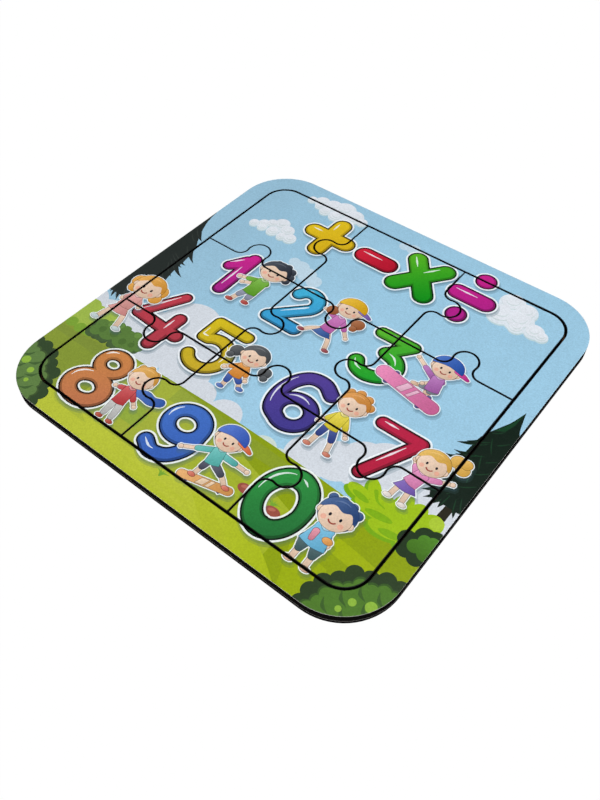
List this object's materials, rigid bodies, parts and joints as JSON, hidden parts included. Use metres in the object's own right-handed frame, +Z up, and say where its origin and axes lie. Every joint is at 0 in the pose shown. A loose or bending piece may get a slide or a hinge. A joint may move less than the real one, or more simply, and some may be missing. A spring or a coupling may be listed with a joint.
{
  "type": "inset jigsaw puzzle board",
  "caption": "Square inset jigsaw board with rounded corners: interlocking printed pieces lie in the shallow recess of a framed tray and lift straight out.",
  "frame": {"origin": "centre of the tray's underside", "axes": "+X to the right of the picture, +Y towards the picture's top edge, +Z up out of the printed face"},
  "size_m": [0.2, 0.2, 0.0058],
  "materials": {
    "base_board": "raw fibreboard underside with dark cut edges",
    "glue": "dried wood glue",
    "board_core": "matt, edges darkened by the cut",
    "print_frame": "satin laminate over a full-colour print",
    "print_top_row": "satin laminate over a full-colour print",
    "print_centre_row": "satin laminate over a full-colour print",
    "print_bottom_row": "satin laminate over a full-colour print"
  },
  "bodies": {
    "tray": {"base_board": "base_board", "glue_layer": "glue", "frame_ring": "board_core", "frame_print": "print_frame"},
    "lift_out_top_left": {"piece_top_left": "board_core", "print_top_left": "print_top_row"},
    "lift_out_top_middle": {"piece_top_middle": "board_core", "print_top_middle": "print_top_row"},
    "lift_out_top_right": {"piece_top_right": "board_core", "print_top_right": "print_top_row"},
    "lift_out_centre_left": {"piece_centre_left": "board_core", "print_centre_left": "print_centre_row"},
    "lift_out_centre": {"piece_centre": "board_core", "print_centre": "print_centre_row"},
    "lift_out_centre_right": {"piece_centre_right": "board_core", "print_centre_right": "print_centre_row"},
    "lift_out_bottom_left": {"piece_bottom_left": "board_core", "print_bottom_left": "print_bottom_row"},
    "lift_out_bottom_middle": {"piece_bottom_middle": "board_core", "print_bottom_middle": "print_bottom_row"},
    "lift_out_bottom_right": {"piece_bottom_right": "board_core", "print_bottom_right": "print_bottom_row"}
  },
  "joints": [
    {"name": "lift_top_left", "type": "slide", "parent": "tray", "child": "lift_out_top_left", "axis": [0, 0, 1], "range_m": [0, 0.025]},
    {"name": "lift_top_middle", "type": "slide", "parent": "tray", "child": "lift_out_top_middle", "axis": [0, 0, 1], "range_m": [0, 0.025]},
    {"name": "lift_top_right", "type": "slide", "parent": "tray", "child": "lift_out_top_right", "axis": [0, 0, 1], "range_m": [0, 0.025]},
    {"name": "lift_centre_left", "type": "slide", "parent": "tray", "child": "lift_out_centre_left", "axis": [0, 0, 1], "range_m": [0, 0.025]},
    {"name": "lift_centre", "type": "slide", "parent": "tray", "child": "lift_out_centre", "axis": [0, 0, 1], "range_m": [0, 0.025]},
    {"name": "lift_centre_right", "type": "slide", "parent": "tray", "child": "lift_out_centre_right", "axis": [0, 0, 1], "range_m": [0, 0.025]},
    {"name": "lift_bottom_left", "type": "slide", "parent": "tray", "child": "lift_out_bottom_left", "axis": [0, 0, 1], "range_m": [0, 0.025]},
    {"name": "lift_bottom_middle", "type": "slide", "parent": "tray", "child": "lift_out_bottom_middle", "axis": [0, 0, 1], "range_m": [0, 0.025]},
    {"name": "lift_bottom_right", "type": "slide", "parent": "tray", "child": "lift_out_bottom_right", "axis": [0, 0, 1], "range_m": [0, 0.025]}
  ]
}
